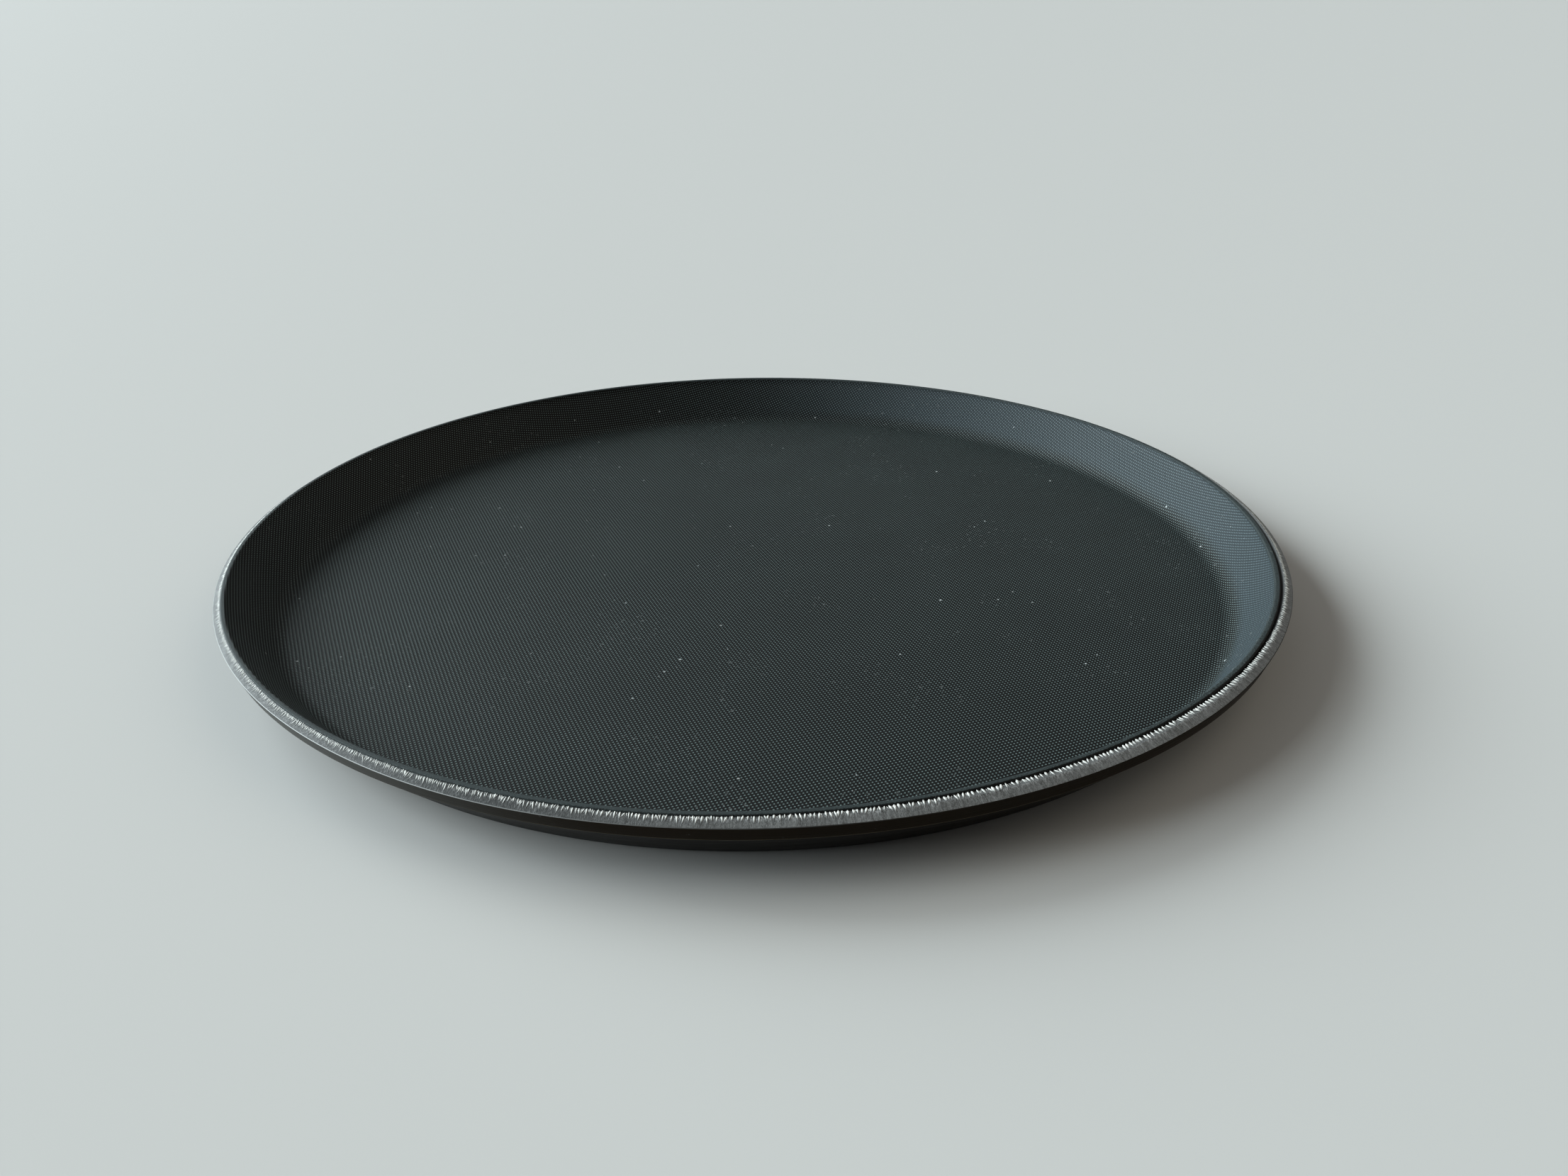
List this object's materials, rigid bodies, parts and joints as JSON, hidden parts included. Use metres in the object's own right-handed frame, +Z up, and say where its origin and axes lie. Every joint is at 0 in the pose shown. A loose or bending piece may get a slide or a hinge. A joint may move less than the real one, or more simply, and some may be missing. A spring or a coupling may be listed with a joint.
{
  "type": "serving tray",
  "caption": "Round non-slip serving tray: shallow laminate dish with a flared wall, a ground rim and a bonded embossed rubber liner with a rolled lip.",
  "frame": {"origin": "centre of the circle that the tray stands on, at table height", "axes": "+Z up along the tray's axis of revolution, towards the side that carries the load; X and Y are any two directions at right angles, since the tray is round"},
  "size_m": [0.4059, 0.406, 0.023],
  "materials": {
    "laminate": "satin black glass-fibre laminate, ground to scratched grey on the rim bevel",
    "glass_cloth": "white glass cloth, seen as cut yarn ends on the rim",
    "rubber": "matte black rubber with a fine plain-weave emboss, smooth on the lip"
  },
  "bodies": {
    "root": {"body_shell": "laminate", "glass_cloth": "glass_cloth", "rubber_liner": "rubber"}
  },
  "joints": []
}
